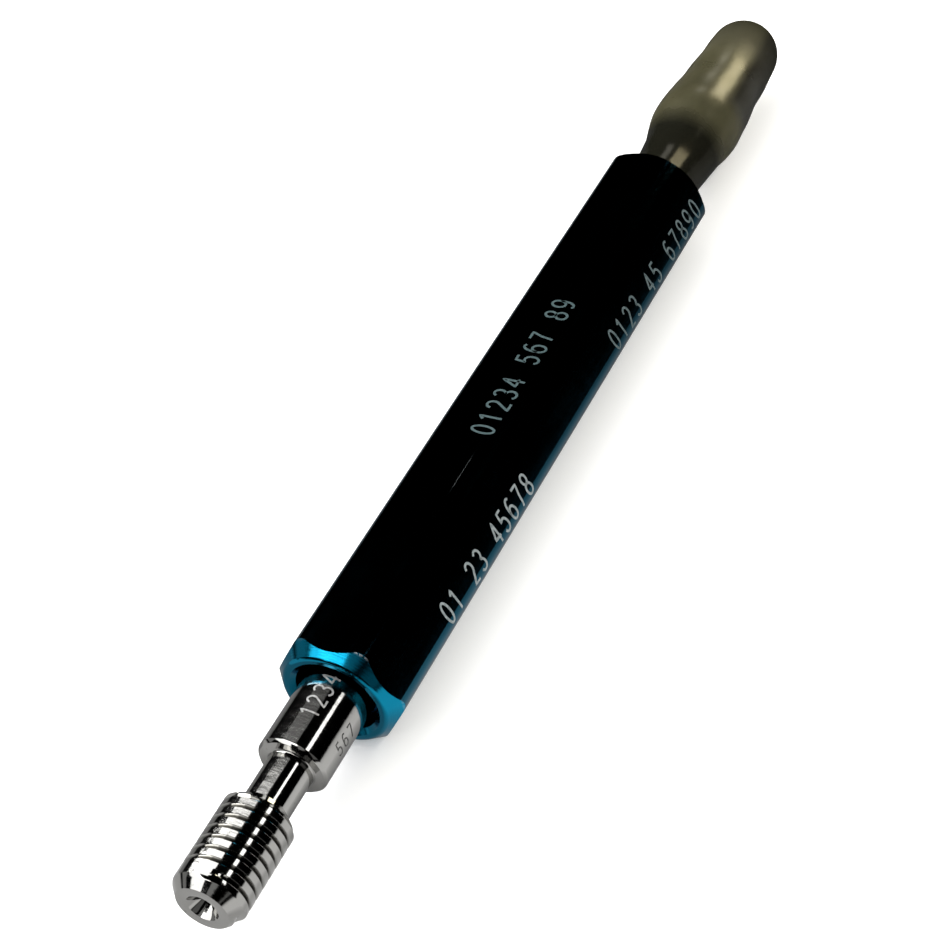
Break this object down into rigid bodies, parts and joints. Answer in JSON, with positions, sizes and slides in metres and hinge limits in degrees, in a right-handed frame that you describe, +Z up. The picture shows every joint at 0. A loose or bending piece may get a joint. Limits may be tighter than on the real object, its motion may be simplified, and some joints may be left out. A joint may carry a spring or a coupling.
{
  "type": "thread plug gauge",
  "caption": "Double-ended thread plug gauge: a coloured hexagonal handle with a screw-thread plug at each end, one plug sealed in a peelable dip coating.",
  "frame": {"origin": "middle of the footprint, level with the handle's bottom flat, which the gauge rests on", "axes": "+X along the common axis, from the open gauging member to the coated one; +Z up, square to the handle's bottom flat"},
  "size_m": [0.0928, 0.009, 0.0081],
  "materials": {
    "handle": "blue-black bright anodised, laser-marked in pale grey",
    "gauge_steel": "ground and lapped hardened steel",
    "gauge_steel_covered": "ground and lapped hardened steel, seen through the coating",
    "dip_coating": "olive-brown translucent peelable plastic, smooth and slightly lumpy"
  },
  "bodies": {
    "root": {"handle": "handle", "go_member": "gauge_steel", "nogo_member": "gauge_steel_covered", "dip_coating": "dip_coating"}
  },
  "joints": []
}
